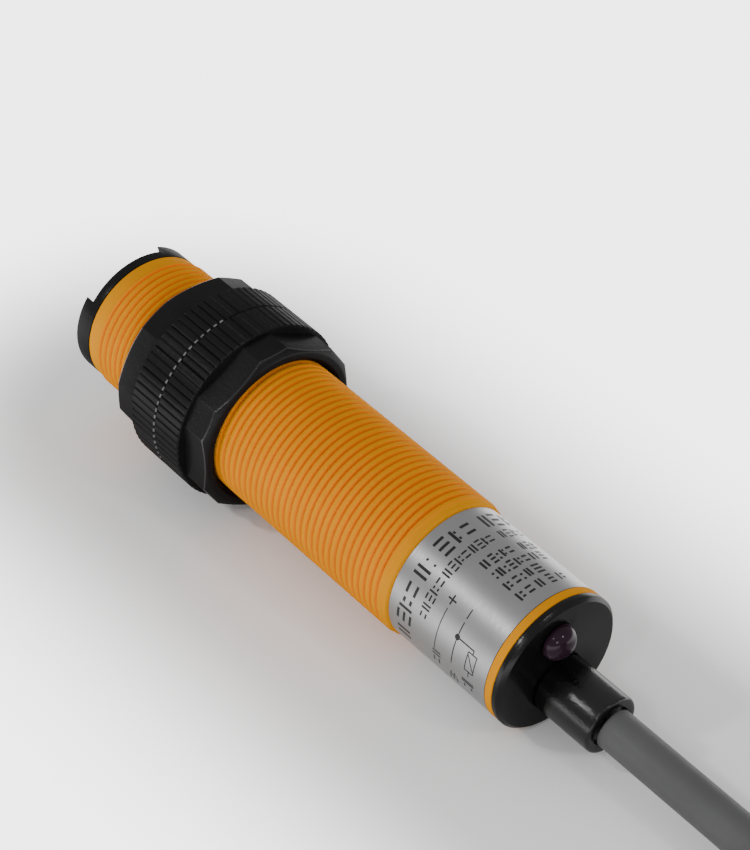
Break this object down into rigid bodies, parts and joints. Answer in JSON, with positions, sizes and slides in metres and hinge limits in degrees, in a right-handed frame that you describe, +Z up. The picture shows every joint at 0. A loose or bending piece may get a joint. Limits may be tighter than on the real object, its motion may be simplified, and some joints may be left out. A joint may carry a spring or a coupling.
{
  "type": "photoelectric sensor",
  "caption": "Cylindrical photoelectric sensor: threaded yellow plastic barrel with black locknuts, twin-window front face, rear indicator dome and a grey cable.",
  "frame": {"origin": "on the surface it lies on, under the middle of the sensor without its cable", "axes": "+Z up, +X towards the cable end along the barrel's axis seen from above, +Y completes the frame; the barrel's axis dips 3.6 degrees towards +X"},
  "size_m": [0.2427, 0.0336, 0.0239],
  "materials": {
    "yellow_plastic": "moulded yellow, satin",
    "black_plastic": "moulded black, satin",
    "black_elastomer": "matt black, fine grain",
    "silver_film": "satin silver printed film",
    "purple_lens": "dark purple, glossy, translucent",
    "dark_red_lens": "dark red, glossy, translucent",
    "grey_pvc": "grey cable jacket, satin",
    "green_laminate": "green solder resist",
    "chip_black": "matt black moulding",
    "tinned_metal": "bright tin",
    "ceramic_tan": "fired tan",
    "clear_epoxy": "clear, glossy",
    "black_resin": "cast, semi-gloss",
    "brown_insulation": "satin",
    "blue_insulation": "satin",
    "black_insulation": "satin"
  },
  "bodies": {
    "sensor": {"barrel": "yellow_plastic", "label": "silver_film", "front_bezel": "black_plastic", "emitter_lens": "dark_red_lens", "receiver_lens": "dark_red_lens", "optics_holder": "black_plastic", "emitter_diode": "clear_epoxy", "receiver_diode": "chip_black", "circuit_board": "green_laminate", "controller_chip": "chip_black", "voltage_regulator": "chip_black", "output_transistor": "chip_black", "protection_diode": "chip_black", "filter_capacitor": "tinned_metal", "bypass_capacitor": "ceramic_tan", "timing_capacitor": "ceramic_tan", "gain_resistor": "chip_black", "bias_resistor": "chip_black", "output_resistor": "chip_black", "indicator_diode": "dark_red_lens", "potting_plug": "black_resin", "core_brown": "brown_insulation", "core_blue": "blue_insulation", "core_black": "black_insulation", "rear_cap": "black_elastomer", "indicator_lens": "purple_lens", "strain_relief": "black_elastomer", "cable": "grey_pvc", "cable_hank": "grey_pvc", "hank_tie": "black_plastic", "far_core_brown": "brown_insulation", "far_core_blue": "blue_insulation", "far_core_black": "black_insulation"},
    "front_nut": {"front_nut": "black_plastic"},
    "rear_nut": {"rear_nut": "black_plastic"}
  },
  "joints": [
    {"name": "front_nut_slide", "type": "slide", "parent": "sensor", "child": "front_nut", "axis": [-0.998, 0, 0.0624], "range_m": [0, 0.0067]},
    {"name": "rear_nut_slide", "type": "slide", "parent": "sensor", "child": "rear_nut", "axis": [0.998, 0, -0.0624], "range_m": [0, 0.0282]}
  ]
}
